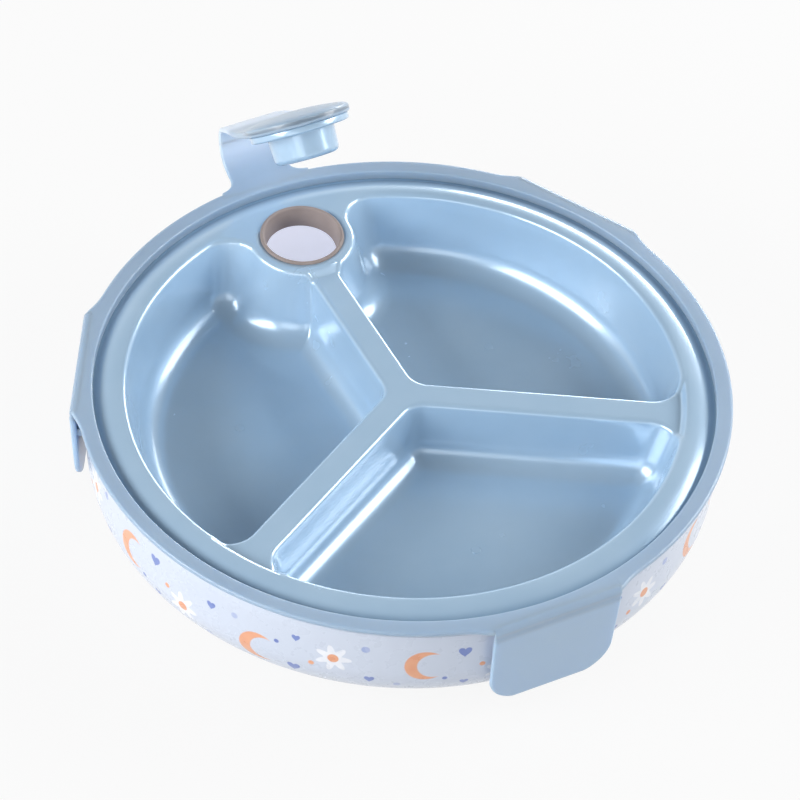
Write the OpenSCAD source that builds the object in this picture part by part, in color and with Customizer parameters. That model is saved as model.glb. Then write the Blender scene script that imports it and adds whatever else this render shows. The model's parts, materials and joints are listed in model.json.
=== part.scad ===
// A child's plate that keeps food warm over hot water. A bowl holds the water, a tray with three
// wells closes it, a ring with three clips holds the tray down, and a stopper shuts the filler hole.
// Millimetres. The origin is on the table under the middle of the plate, +Z is up and the filler
// hole lies towards +Y.

/* [Overall] */
// Outside diameter of the clip ring
ring_d = 200; // [190:1:230]
// Height from the table to the top of the tray's bead
plate_h = 40; // [39:0.5:48]

/* [Base bowl] */
// How far the ring stands out past the bowl's wall
ring_overhang = 3; // [2.8:0.1:4]
// Thickness of the bowl's wall
base_wall = 2; // [1.6:0.1:2.6]
// Thickness of the bowl's floor
base_floor = 2.2; // [1.8:0.1:3]
// Outside radius where the wall turns into the floor
base_round = 19; // [12:0.5:22]
// Width of the rim that carries the seal
rim_land = 4.4; // [4:0.1:5]
// Height of the rim's upright inner face
rim_h = 3; // [2.5:0.1:4]
// Width of a catch bar behind a flap
catch_w = 36; // [28:1:38]
// Height of a catch bar
catch_h = 4; // [3:0.5:5]
// How far a catch bar stands out past the wall at its middle
catch_proud = 0.5; // [0.3:0.1:0.6]
// Distance from the bowl's rim down to the top of a catch bar
catch_drop = 1.8; // [1:0.1:3]

/* [Rim seal] */
// Width of the seal
seal_w = 2; // [1.6:0.1:2.4]
// Depth of the seal's groove in the rim
seal_sunk = 1.2; // [0.8:0.1:1.8]
// How far the seal stands out of its groove
seal_proud = 1.2; // [0.8:0.1:1.6]
// Side clearance of the seal in its groove
seal_gap = 0.1; // [0.05:0.05:0.2]

/* [Clip ring] */
// Thickness of the ring
ring_t = 2; // [1.8:0.1:2.4]
// Width of the ring's flat top
ring_band = 3.2; // [3:0.1:3.6]
// Clearance between the ring and the tray's bead
ring_gap = 0.2; // [0.1:0.05:0.3]
// Distance of a flap's hinge axis inside the ring's outer circle
flap_axis_in = 0.2; // [0:0.1:0.4]
// Radius of the hollow that blends a straight hinge lip into the ring
lip_blend = 10; // [6:0.5:14]
// How far a hinge lip reaches past its flap or strap on each side
hinge_ear = 2; // [1.5:0.1:3]
// Radius of the bead along a film hinge
hinge_r = 0.9; // [0.8:0.1:1]
// Clearance around a film hinge's bead
hinge_gap = 0.3; // [0.25:0.05:0.4]

/* [Clip flaps] */
// Width of a flap at its hinge
flap_w = 42; // [38:1:46]
// Height of a flap below its hinge axis
flap_h = 33.5; // [26:0.5:34]
// Thickness of a flap
flap_t = 1.6; // [1.4:0.1:1.7]
// Inward lean of a closed flap, in degrees
flap_lean = 3.8; // [3:0.1:4]
// Amount that a flap narrows on each side
flap_taper = 1; // [0:0.1:2]
// Radius of a flap's lower corners
flap_corner = 9; // [5:0.5:12]
// Height of the hook rib inside a flap
hook_h = 2.7; // [2:0.1:4]
// Clearance between a hook rib and the bowl
hook_gap = 0.4; // [0.3:0.05:0.5]

/* [Food tray] */
// Width of the rim, from the wells' edge to the ring's outer circle
rim_w = 15; // [14:0.5:18]
// Wall thickness of the tray
tray_wall = 1.8; // [1.4:0.1:2]
// Width of the raised bead beside the ring
bead_w = 2.1; // [1.8:0.1:2.4]
// Width of the gutter's flat floor
gutter_w = 3.7; // [3:0.1:4.2]
// Depth of the gutter below the bead
gutter_deep = 2; // [1.6:0.1:2.4]
// Width of the slope from the gutter up to the wells' edge
slope_w = 4; // [3:0.1:4.4]
// Drop from the bead's top to the wells' edge
rim_drop = 0.7; // [0.4:0.1:1]
// Thickness of the tongue that the ring holds down
tongue_t = 2; // [1.8:0.1:2.4]
// How far the tongue reaches past the bowl's wall
tongue_reach = 1.6; // [1:0.1:1.7]
// Thickness of the skirt that centres the tray in the bowl
skirt_t = 1.6; // [1.4:0.1:2]
// Depth of the centring skirt below the tongue
skirt_deep = 4; // [2:0.1:5]
// Clearance between the skirt and the bowl's rim
skirt_gap = 0.3; // [0.2:0.05:0.4]
// Width of a divider between two wells
divider_w = 9.4; // [8:0.1:12]
// Drop from the wells' edge to the top of a divider
divider_drop = 2.4; // [2:0.1:4]
// Depth of a well below its edge
well_deep = 23.6; // [20:0.2:26]
// Radius between a well's floor and its wall
floor_round = 7.4; // [5:0.1:8]
// Slope of a well's walls at the dividers, in degrees
divider_draft = 4; // [2:0.2:6]
// Slope of a well's walls at the rim and at the boss, in degrees
rim_draft = 14; // [10:0.5:16]
// Radius of a well's outer corners, in plan
well_corner = 9; // [7:0.5:11]
// Radius of a well's corner at the hub, in plan
hub_corner = 7; // [5:0.5:9]
// Radius of a well's corner between divider and boss, in plan
boss_corner = 5; // [4:0.5:7]
// Radius of the rounded top edges of rim and dividers
edge_round = 1.4; // [1:0.1:1.6]

/* [Filler hole] */
// Distance of the hole's middle inside the wells' edge
filler_in = 12.7; // [12:0.1:14]
// Diameter of the boss around the hole
boss_d = 33; // [31:0.5:35]
// Outside diameter of the grommet's lip
grommet_d = 26.4; // [26:0.1:28]
// Height of the grommet's lip above the boss
grommet_lip = 0.8; // [0.6:0.1:1.2]
// Diameter of the hole that the grommet sits in
grommet_hole = 25.2; // [25:0.1:25.4]
// Length of the grommet's neck below the boss
grommet_len = 6.5; // [5:0.1:8]
// Amount that the grommet's bore widens to its top, in diameter
grommet_flare = 1.8; // [1.6:0.1:2]
// Clearance of the grommet in its hole
grommet_gap = 0.1; // [0.05:0.05:0.15]

/* [Stopper] */
// Width of the strap
strap_w = 20; // [17:0.5:22]
// Thickness of the strap
strap_t = 1.6; // [1.4:0.1:1.8]
// Distance of the strap's hinge axis outside the ring's outer circle
strap_axis_out = 0.6; // [0.4:0.1:1]
// Length of the strap from its hinge to its fold
strap_reach = 15.4; // [13:0.2:18]
// Angle that the open strap stands above the ring, in degrees
strap_lift = 43; // [30:1:60]
// Angle that the open cap leans back, in degrees
cap_tilt = 43; // [30:1:60]
// Thickness of the web under the roll that the cap folds about
fold_web = 1.2; // [0.8:0.1:1.6]
// Height that the cap's arm climbs from the cap to the fold
arm_rise = 2; // [1:0.1:2.6]
// Diameter of the cap
cap_d = 33; // [31:0.5:35]
// Thickness of the cap
cap_t = 2; // [1.6:0.1:2.4]
// Diameter of the plug's flange under the cap
plug_flange_d = 31.4; // [28:0.2:32]
// Thickness of the plug's flange
plug_flange_t = 2.2; // [1.6:0.1:2.6]
// Diameter of the plug at its flange
plug_d = 21.2; // [20.8:0.1:21.4]
// Amount that the plug narrows to its end, in diameter
plug_taper = 0.6; // [0.4:0.1:1]
// Length of the plug below its flange
plug_len = 8.6; // [7:0.2:9]
// Radius of the plug's rounded end
plug_round = 1.8; // [1.5:0.1:2.4]
// Clearance of the shut plug in the grommet, and of its flange above the lip
plug_gap = 0.4; // [0.3:0.05:0.5]

/* [Hidden] */
$fn = 96;

PEARL_BLUE = [0.60, 0.74, 0.86];
MILKY_BLUE = [0.66, 0.76, 0.86];
PALE_LILAC = [0.86, 0.88, 0.94];
TAUPE = [0.56, 0.50, 0.48];

// Overlap that joins two solids, and the reach of a cut past the face that it opens
JOIN = 0.5;
PAST = 1;

// How deep the blend beside a hinge lip runs into the ring's rounded edge
BLEND_SUNK = 1.2;

// Directions of the flaps, seen from above, and half of the angle between two dividers
FLAP_FRONT = 270;
FLAP_RIGHT = 30;
FLAP_LEFT = 150;
FLAPS = [FLAP_FRONT, FLAP_RIGHT, FLAP_LEFT];
HALF_WELL = 60;

// Segments of a round corner, of a well's outer arc and of a rounded edge
CORNER_STEPS = 7;
ARC_STEPS = 18;
EDGE_STEPS = 5;

// Least radius of a well's corner in plan
CORNER_MIN = 3;

// Angles at which a rolled top edge is cut, and how far the cut opens above it in edge radii
EDGE_ANGLES = [0, 35, 65];
EDGE_FLARE = 1.2;

// Radii from the ring inwards
ring_r = ring_d / 2;
ring_in = ring_r - ring_band;
base_r = ring_r - ring_overhang;
rim_in = base_r - rim_land;
seal_r = base_r - rim_land / 2;
tongue_r = base_r + tongue_reach;
bead_out = ring_in - ring_gap;
bead_in = bead_out - bead_w;
gutter_in = bead_in - gutter_w;
slope_in = gutter_in - slope_w;
skirt_out = rim_in - skirt_gap;
well_r = ring_r - rim_w;

// Heights from the bead downwards
ring_z = plate_h - ring_t;
tongue_z = ring_z - tongue_t;
base_h = tongue_z - seal_proud;
gutter_z = plate_h - gutter_deep;
rim_z = plate_h - rim_drop;
divider_z = rim_z - divider_drop;
floor_z = rim_z - well_deep;
catch_z = base_h - catch_drop - catch_h;
hook_z = catch_z - hook_gap - hook_h;

// Hinge axes of the flaps and of the strap
hinge_z = plate_h - ring_t / 2;
flap_axis = ring_r - flap_axis_in;
strap_axis = ring_r + strap_axis_out;

// The filler hole, and the shut cap above it
filler_y = well_r - filler_in;
boss_r = boss_d / 2;
grommet_top = rim_z + grommet_lip;
plug_top = grommet_top + plug_gap;
cap_z = plug_top + plug_flange_t + cap_t / 2;

// The cap folds about a roll midway between the shut strap and the end of the cap's arm
fold_y = strap_axis + strap_reach;
fold_rise = (cap_z + arm_rise - hinge_z) / 2;
fold_z = hinge_z + fold_rise;
fold_r = fold_rise - max(strap_t, cap_t) / 2 - hinge_gap;

function polar(r, a) = r * [cos(a), sin(a)];

// Points of an arc with both of its ends, and the same without its ends
function arc(c, r, a0, a1, n) = [for (i = [0:n]) c + polar(r, a0 + (a1 - a0) * i / n)];
function arc_between(c, r, a0, a1, n) = [for (i = [1:n - 1]) c + polar(r, a0 + (a1 - a0) * i / n)];

// A solid through a stack of outlines with equal counts of points, each given as [height, outline]
module loft(rings) {
    n = len(rings[0][1]);
    top = len(rings) - 1;
    sides = [for (k = [0:top - 1]) for (i = [0:n - 1])
        let (a = k * n + i, b = k * n + (i + 1) % n)
        each [[a, a + n, b], [b, a + n, b + n]]];
    floor_face = [for (i = [0:n - 1]) i];
    top_face = [for (i = [n - 1:-1:0]) top * n + i];
    polyhedron(
        [for (ring = rings) for (p = ring[1]) [p.x, p.y, ring[0]]],
        concat([floor_face], sides, [top_face]));
}

// A bar along X with its middle at the origin
module bar_x(r, length) {
    rotate([0, 90, 0]) cylinder(r = r, h = length, center = true);
}

// The bowl that holds the hot water, with a grooved rim and three catch bars for the flaps
module base_bowl() {
    inner_round = base_round - base_wall;
    inner_r = base_r - base_wall;
    groove = seal_w / 2 + seal_gap;
    section = concat(
        [[0, 0]],
        arc([base_r - base_round, base_round], base_round, -90, 0, 2 * CORNER_STEPS),
        [[base_r, base_h],
         [seal_r + groove, base_h], [seal_r + groove, base_h - seal_sunk],
         [seal_r - groove, base_h - seal_sunk], [seal_r - groove, base_h],
         [rim_in, base_h], [rim_in, base_h - rim_h],
         [inner_r, base_h - rim_h - (inner_r - rim_in)]],
        arc([inner_r - inner_round, base_floor + inner_round], inner_round, 0, -90, 2 * CORNER_STEPS),
        [[0, base_floor]]);
    color(PALE_LILAC) {
        rotate_extrude() polygon(section);
        for (a = FLAPS) rotate(a) catch_bar();
    }
}

// A flat-faced bar on the round wall, which a flap's hook rib snaps under
module catch_bar() {
    depth = rim_land;
    difference() {
        translate([base_r + catch_proud - depth, -catch_w / 2, catch_z]) cube([depth, catch_w, catch_h]);
        translate([0, 0, catch_z - PAST]) cylinder(r = base_r - JOIN, h = catch_h + 2 * PAST);
    }
}

// The soft seal in the bowl's rim, under the tray's tongue
module rim_seal() {
    color(TAUPE)
    rotate_extrude()
        translate([seal_r - seal_w / 2, base_h - seal_sunk]) square([seal_w, seal_sunk + seal_proud]);
}

// Outlines of a well, set in by d at the dividers and by e at the rim and the boss. The plain well
// lies along +X.
function shrink(c, d) = max(c - d, CORNER_MIN);

function plain_outline(d, e) =
    let (co = shrink(well_corner, max(d, e)), ch = shrink(hub_corner, d),
        w = divider_w / 2 + d, r = well_r - e,
        a = HALF_WELL - asin((w + co) / (r - co)), h = (w + ch) / sin(HALF_WELL))
    concat(
        arc_between([0, 0], r, -a, a, ARC_STEPS),
        arc(polar(r - co, a), co, a, HALF_WELL + 90, CORNER_STEPS),
        arc(polar(h, 0), ch, HALF_WELL + 90, 270 - HALF_WELL, CORNER_STEPS),
        arc(polar(r - co, -a), co, 270 - HALF_WELL, 360 - a, CORNER_STEPS));

// The well to the right of the filler hole, between the front divider at -30 degrees and the boss
function boss_outline(d, e) =
    let (co = shrink(well_corner, max(d, e)), ch = shrink(hub_corner, d), cb = shrink(boss_corner, max(d, e)),
        w = divider_w / 2 + d, r = well_r - e, b = boss_r + e,
        first = FLAP_RIGHT - HALF_WELL,
        a = first + asin((w + co) / (r - co)),
        t = acos((pow(r - co, 2) + pow(filler_y, 2) - pow(b + co, 2)) / (2 * (r - co) * filler_y)),
        p = polar(r - co, 90 - t),
        f = (atan2(filler_y - p.y, -p.x) + 360) % 360,
        q = [w + cb, filler_y - sqrt(pow(b + cb, 2) - pow(w + cb, 2))],
        g = atan2(filler_y - q.y, -q.x),
        h = (w + ch) / sin(HALF_WELL))
    concat(
        arc_between([0, 0], r, a, 90 - t, ARC_STEPS),
        arc(p, co, 90 - t, f, CORNER_STEPS),
        arc_between([0, filler_y], b, f - 180, g - 180, ARC_STEPS / 2),
        arc(q, cb, g, 180, CORNER_STEPS),
        arc(polar(h, FLAP_RIGHT), ch, 180, 240, CORNER_STEPS),
        arc(polar(r - co, a), co, first + 270, a + 360, CORNER_STEPS));

function outline(plain, d, e) = plain ? plain_outline(d, e) : boss_outline(d, e);

// How far a well's wall stands in from its edge at a height, with the round to the floor, at a slope
// in degrees. The outside of the wall lies one thickness further out.
function wall_inset(z, slope, thickness) =
    let (mid = floor_z + floor_round, r = floor_round + thickness,
        side = (rim_z - mid) * tan(slope) + floor_round / cos(slope))
    z > mid - r * sin(slope)
        ? (rim_z - z) * tan(slope) - thickness / cos(slope)
        : side - sqrt(max(pow(r, 2) - pow(mid - z, 2), 0));

// Outline of a well at a height, let out by the given amounts at the dividers and at the rim
function well_ring(plain, z, thickness, divider_out, rim_out) =
    [z, outline(plain,
        wall_inset(z, divider_draft, thickness) - divider_out,
        wall_inset(z, rim_draft, thickness) - rim_out)];

// Outlines through the round between a well's floor and its walls
function floor_rings(plain, thickness) =
    [for (i = [0:EDGE_STEPS])
        let (z = floor_z + floor_round - (floor_round + thickness) * cos(90 * i / EDGE_STEPS))
        well_ring(plain, z, thickness, 0, 0)];

// The hollow of a well, with its floor rounded and its top edges rolled over at divider and rim
module well_hollow(plain) {
    divider_open = edge_round * EDGE_FLARE;
    rim_round = edge_round / 2;
    divider_edge = [for (t = EDGE_ANGLES)
        well_ring(plain, divider_z - edge_round * (1 - sin(t)), 0, edge_round * (1 - cos(t)), 0)];
    rim_edge = [for (t = EDGE_ANGLES)
        well_ring(plain, rim_z - rim_round * (1 - sin(t)), 0, divider_open, rim_round * (1 - cos(t)))];
    loft(concat(
        floor_rings(plain, 0),
        divider_edge,
        [well_ring(plain, divider_z + edge_round / 3, 0, divider_open, 0)],
        rim_edge,
        [well_ring(plain, plate_h + PAST, 0, divider_open, rim_round)]));
}

// The outside of a well, one wall thickness larger than its hollow
module well_skin(plain) {
    loft(concat(
        floor_rings(plain, tray_wall),
        [well_ring(plain, divider_z - tray_wall / 2, tray_wall, 0, 0)]));
}

module each_well(hollow) {
    rotate(FLAP_FRONT) if (hollow) well_hollow(true); else well_skin(true);
    for (side = [0, 1]) mirror([side, 0, 0]) if (hollow) well_hollow(false); else well_skin(false);
}

// The raised ground around the filler hole, as far as the corners of the wells beside it
module boss() {
    boss_h = divider_drop + tray_wall;
    reach = boss_r + well_corner;
    translate([0, filler_y, divider_z - tray_wall]) {
        cylinder(r = boss_r, h = boss_h);
        translate([-reach, 0, 0]) cube([2 * reach, filler_in, boss_h]);
    }
}

// The tray with its three wells, the filler boss, a gutter inside the bead, the tongue under the ring
// and the skirt that centres it in the bowl
module food_tray() {
    step_r = well_r - JOIN;
    under_r = well_r + tray_wall;
    bead_r = bead_w / 2;
    section = concat(
        [[0, divider_z - tray_wall], [under_r, divider_z - tray_wall], [under_r, rim_z - tray_wall],
         [gutter_in, gutter_z - tray_wall], [skirt_out - skirt_t, gutter_z - tray_wall],
         [skirt_out - skirt_t, tongue_z - skirt_deep], [skirt_out, tongue_z - skirt_deep],
         [skirt_out, tongue_z], [tongue_r, tongue_z], [tongue_r, ring_z], [bead_out, ring_z]],
        arc([bead_out - bead_r, plate_h - bead_r], bead_r, 0, 180, CORNER_STEPS),
        [[bead_in, gutter_z], [gutter_in, gutter_z], [slope_in, rim_z], [step_r, rim_z],
         [step_r, divider_z], [0, divider_z]]);
    color(PEARL_BLUE)
    difference() {
        union() {
            rotate_extrude() polygon(section);
            each_well(false);
            intersection() {
                boss();
                cylinder(r = slope_in, h = rim_z);
            }
        }
        each_well(true);
        translate([0, filler_y, floor_z]) cylinder(r = boss_r - tray_wall, h = well_deep - tray_wall);
        translate([0, filler_y, floor_z]) cylinder(d = grommet_hole, h = well_deep + PAST);
    }
}

// The soft grommet that lines the filler hole, with a lip above the boss and a barb below it
module filler_grommet() {
    lip_r = grommet_d / 2;
    neck_r = grommet_hole / 2 - grommet_gap;
    bore_r = plug_d / 2 + plug_gap;
    end_z = rim_z - grommet_len;
    barb_z = rim_z - tray_wall - grommet_gap;
    color(TAUPE)
    translate([0, filler_y, 0])
    rotate_extrude()
        polygon([[bore_r + grommet_flare / 2, grommet_top], [bore_r, end_z],
            [neck_r, end_z], [lip_r, barb_z - (lip_r - neck_r)], [lip_r, barb_z], [neck_r, barb_z],
            [neck_r, rim_z], [lip_r, rim_z], [lip_r, grommet_top - grommet_lip / 3],
            [lip_r - grommet_lip / 3, grommet_top]]);
}

// A straight lip across the ring for a film hinge, blended into the round edge by a hollow on each side
module hinge_lip(axis, width, blend) {
    corner_r = norm([axis, width / 2]);
    corner_a = atan2(width / 2, axis);
    reach = ring_r + blend - BLEND_SUNK;
    turn = acos((pow(reach, 2) + pow(corner_r, 2) - pow(blend, 2)) / (2 * reach * corner_r));
    centre_a = corner_a + turn;
    centre = polar(reach, centre_a);
    to_corner = atan2(width / 2 - centre.y, axis - centre.x);
    upper = arc(centre, blend, to_corner, centre_a - 180, CORNER_STEPS);
    lower = [for (i = [len(upper) - 1:-1:0]) [upper[i].x, -upper[i].y]];
    root = polar(ring_r - ring_t, centre_a);
    translate([0, 0, ring_z])
    linear_extrude(ring_t)
    difference() {
        polygon(concat(upper, [root, [root.x, -root.y]], lower));
        circle(r = ring_in + JOIN);
    }
}

// The groove that a film hinge's bead turns in, along X at the origin and open below for a shut flap
module hinge_groove(width) {
    length = width + 2 * hinge_gap;
    slot = flap_t + 2 * hinge_gap;
    bar_x(hinge_r + hinge_gap, length);
    translate([-length / 2, -slot / 2, -ring_t]) cube([length, slot, ring_t]);
}

// The ring that holds the tray down, with a hinge lip for each flap and for the strap
module clip_ring() {
    edge = ring_t / 2;
    section = concat([[ring_in, plate_h], [ring_in, ring_z]],
        arc([ring_r - edge, hinge_z], edge, -90, 90, CORNER_STEPS));
    color(MILKY_BLUE)
    difference() {
        union() {
            rotate_extrude() polygon(section);
            for (a = FLAPS) rotate(a) hinge_lip(flap_axis, flap_w + 2 * hinge_ear, lip_blend);
            rotate(90) hinge_lip(strap_axis, strap_w + 2 * hinge_ear, lip_blend / 2);
        }
        for (a = FLAPS) rotate(a - 90) translate([0, flap_axis, hinge_z]) hinge_groove(flap_w);
        translate([0, strap_axis, hinge_z]) hinge_groove(strap_w);
    }
}

// One clip flap, shut. It hangs from the bead of its film hinge and leans in towards the bowl, and
// its hook rib follows the bowl's wall.
module flap(direction) {
    half = flap_w / 2;
    side = atan(flap_taper / (flap_h - flap_corner));
    corner = [half - flap_taper - flap_corner, flap_corner - flap_h];
    right = arc(corner, flap_corner, side, -90, CORNER_STEPS);
    left = [for (i = [len(right) - 1:-1:0]) [-right[i].x, right[i].y]];
    hook_out = flap_axis - (hinge_z - hook_z) * tan(flap_lean);
    color(MILKY_BLUE)
    rotate(direction) {
        translate([flap_axis, 0, hinge_z]) {
            rotate(90) bar_x(hinge_r, flap_w);
            rotate([0, flap_lean, 0]) rotate([90, 0, 90])
                linear_extrude(flap_t, center = true)
                polygon(concat([[-half, 0], [half, 0]], right, left));
        }
        difference() {
            translate([base_r - rim_land, -catch_w / 2, hook_z])
                cube([hook_out - base_r + rim_land, catch_w, hook_h]);
            translate([0, 0, hook_z - PAST]) cylinder(r = base_r + hook_gap, h = hook_h + 2 * PAST);
        }
    }
}

module clip_flap_front() { flap(FLAP_FRONT); }
module clip_flap_right() { flap(FLAP_RIGHT); }
module clip_flap_left() { flap(FLAP_LEFT); }

// The strap and the cap are drawn shut and then swung to where they stand open
module open_strap() {
    translate([0, strap_axis, hinge_z]) rotate([strap_lift, 0, 0]) translate([0, -strap_axis, -hinge_z])
        children();
}

module open_cap() {
    open_strap() translate([0, fold_y, fold_z]) rotate([-strap_lift - cap_tilt, 0, 0])
        translate([0, -fold_y, -fold_z]) children();
}

// The strap from its film hinge on the ring to the roll that the cap folds about
module stopper_strap() {
    color(MILKY_BLUE)
    open_strap() {
        translate([0, strap_axis, hinge_z]) bar_x(hinge_r, strap_w);
        translate([-strap_w / 2, strap_axis, hinge_z - strap_t / 2])
            cube([strap_w, strap_reach + fold_web / 2, strap_t]);
        translate([-strap_w / 2, fold_y - fold_web / 2, hinge_z]) cube([strap_w, fold_web, fold_rise]);
        translate([0, fold_y, fold_z]) bar_x(fold_r, strap_w);
    }
}

// The cap with the arm that climbs to the fold
module stopper_cap() {
    under = cap_z - cap_t / 2;
    edge_y = filler_y + cap_d / 2;
    color(MILKY_BLUE)
    open_cap() {
        translate([0, filler_y, under]) cylinder(d = cap_d, h = cap_t);
        translate([-strap_w / 2, 0, 0]) rotate([90, 0, 90])
            linear_extrude(strap_w)
            polygon([[filler_y, under], [edge_y, under], [fold_y, under + arm_rise],
                [fold_y, under + arm_rise + cap_t], [edge_y, under + cap_t], [filler_y, under + cap_t]]);
    }
}

// The plug under the cap, with a flange above the grommet's lip
module stopper_plug() {
    flange_r = plug_flange_d / 2;
    tip_r = (plug_d - plug_taper) / 2;
    tip_z = plug_top - plug_len;
    color(PEARL_BLUE)
    open_cap()
    translate([0, filler_y, 0])
    rotate_extrude()
        polygon(concat(
            [[0, tip_z]],
            arc([tip_r - plug_round, tip_z + plug_round], plug_round, -90, 0, CORNER_STEPS),
            [[plug_d / 2, plug_top], [flange_r, plug_top], [flange_r, plug_top + plug_flange_t],
             [0, plug_top + plug_flange_t]]));
}

base_bowl();
rim_seal();
food_tray();
filler_grommet();
clip_ring();
clip_flap_front();
clip_flap_right();
clip_flap_left();
stopper_strap();
stopper_cap();
stopper_plug();
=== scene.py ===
# %% [markdown]
# # A warming plate for a child
# The real thing is a shallow bowl that is filled with hot water, closed by a pearly blue tray with
# three food wells. A milky ring with three clips holds the tray down, and a stopper on a folding strap
# shuts the filler hole. The solids already have the right size and place, so they are loaded first, and
# the stopper's hinges are read from them. The scene is in metres.

# %% Load the solids
import json
import math
from functools import partialmethod

import bmesh
import bpy
import numpy as np
from mathutils import Matrix, Vector
from mathutils.geometry import delaunay_2d_cdt

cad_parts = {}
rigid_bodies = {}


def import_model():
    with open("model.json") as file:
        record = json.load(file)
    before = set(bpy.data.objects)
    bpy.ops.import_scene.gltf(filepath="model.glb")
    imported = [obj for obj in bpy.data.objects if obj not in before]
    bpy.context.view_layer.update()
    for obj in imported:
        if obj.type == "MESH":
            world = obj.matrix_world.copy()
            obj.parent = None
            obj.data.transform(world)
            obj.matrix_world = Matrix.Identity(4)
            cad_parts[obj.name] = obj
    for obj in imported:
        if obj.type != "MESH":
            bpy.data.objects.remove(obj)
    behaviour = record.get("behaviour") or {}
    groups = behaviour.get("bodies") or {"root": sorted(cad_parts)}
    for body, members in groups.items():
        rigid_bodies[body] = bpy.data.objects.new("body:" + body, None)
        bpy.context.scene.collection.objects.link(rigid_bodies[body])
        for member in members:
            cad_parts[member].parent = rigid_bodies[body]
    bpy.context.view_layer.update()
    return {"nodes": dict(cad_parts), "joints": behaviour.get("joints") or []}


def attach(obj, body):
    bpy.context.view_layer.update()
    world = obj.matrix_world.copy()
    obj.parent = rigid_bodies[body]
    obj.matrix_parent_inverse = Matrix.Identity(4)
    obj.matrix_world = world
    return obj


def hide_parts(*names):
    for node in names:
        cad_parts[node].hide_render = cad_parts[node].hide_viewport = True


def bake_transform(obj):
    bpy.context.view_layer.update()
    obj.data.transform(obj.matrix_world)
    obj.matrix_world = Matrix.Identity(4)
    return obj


for leftover in list(bpy.data.objects):
    bpy.data.objects.remove(leftover)
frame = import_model()
joints = {joint["name"]: joint for joint in frame["joints"]}
MM = 0.001

# %% [markdown]
# ## The camera
# A long lens far away keeps the round rim close to a true ellipse, as in a catalogue picture. The
# camera stands to the front left of the plate, looks down at about 45 degrees and is turned a little
# about its own axis, so that the plate seems to lean. A small lens shift puts the plate where the
# picture has it, without turning the camera.

# %% Camera
PICTURE_SIZE = 800
PICTURE_FOCAL = 4603.0
PICTURE_CENTRE = (405.4, 385.2)
SENSOR_MM = 36.0
LOOK_AT = Vector((0, 0, 0.040))
CAMERA_AWAY = 1.4
CAMERA_SIDE = math.radians(240.5)
CAMERA_RISE = math.radians(45.74)
CAMERA_ROLL = math.radians(3.94)


def direction(side, rise):
    """The unit vector towards a compass side, at an angle above the table."""
    flat = math.cos(rise)
    return Vector((flat * math.cos(side), flat * math.sin(side), math.sin(rise)))


def new_object(name, data):
    """A new object that is part of the scene."""
    item = bpy.data.objects.new(name, data)
    bpy.context.scene.collection.objects.link(item)
    return item


back = direction(CAMERA_SIDE, CAMERA_RISE)
level_right = direction(CAMERA_SIDE + math.pi / 2, 0)
level_up = back.cross(level_right)
right = level_right * math.cos(CAMERA_ROLL) + level_up * math.sin(CAMERA_ROLL)
up = level_up * math.cos(CAMERA_ROLL) - level_right * math.sin(CAMERA_ROLL)
place = LOOK_AT + back * CAMERA_AWAY

camera = new_object("camera", bpy.data.cameras.new("camera"))
camera.matrix_world = Matrix.Translation(place) @ Matrix((right, up, back)).transposed().to_4x4()
camera.data.sensor_width = SENSOR_MM
camera.data.lens = PICTURE_FOCAL / PICTURE_SIZE * SENSOR_MM
camera.data.shift_x = (PICTURE_SIZE / 2 - PICTURE_CENTRE[0]) / PICTURE_SIZE
camera.data.shift_y = (PICTURE_CENTRE[1] - PICTURE_SIZE / 2) / PICTURE_SIZE
bpy.context.scene.camera = camera
print("lens in mm:", round(camera.data.lens, 1))

# %% [markdown]
# ## Writing finishes as sums
# A finish is a small network of nodes. Drawing it node by node hides the idea, so a socket is wrapped
# in a class that knows plus, minus and times. An expression such as `1 - mask * 0.5` then adds its own
# Math nodes, and reads like the formula it is.

# %% Sockets that can be added and multiplied


class Value:
    """A number that varies over a surface: the output of a node."""

    def __init__(self, finish, socket):
        self.finish = finish
        self.socket = socket

    def maths(self, operation, *others):
        node = self.finish.add("ShaderNodeMath", {"operation": operation},
                               dict(enumerate((self,) + others)))
        return Value(self.finish, node.outputs[0])

    __add__ = __radd__ = partialmethod(maths, "ADD")
    __mul__ = __rmul__ = partialmethod(maths, "MULTIPLY")
    __sub__ = partialmethod(maths, "SUBTRACT")
    __truediv__ = partialmethod(maths, "DIVIDE")
    __abs__ = partialmethod(maths, "ABSOLUTE")
    root = partialmethod(maths, "SQRT")
    floor = partialmethod(maths, "FLOOR")
    fraction = partialmethod(maths, "FRACT")
    cosine = partialmethod(maths, "COSINE")
    larger = partialmethod(maths, "MAXIMUM")
    angle_from = partialmethod(maths, "ARCTAN2")

    def __rsub__(self, other):
        return self * -1 + other

    def inside(self, soft):
        """1 where the value is below zero, 0 where it is above, soft at the edge."""
        node = self.finish.add("ShaderNodeMapRange", {"interpolation_type": "SMOOTHSTEP"},
                               {"Value": self, "From Min": -soft, "From Max": soft,
                                "To Min": 1.0, "To Max": 0.0})
        return Value(self.finish, node.outputs["Result"])


# %% Nodes and finishes


def feed(tree, socket, value):
    """Sets a socket to a fixed value, or links it to the output of another node."""
    if isinstance(value, Value):
        value = value.socket
    if isinstance(value, bpy.types.NodeSocket):
        tree.links.new(value, socket)
    else:
        socket.default_value = value


def add_node(tree, kind, settings=None, sockets=None):
    """Any node: its settings are made first, because they can change its sockets."""
    node = tree.nodes.new(kind)
    for key, value in (settings or {}).items():
        setattr(node, key, value)
    for key, value in (sockets or {}).items():
        feed(tree, node.inputs[key], value)
    return node


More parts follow.
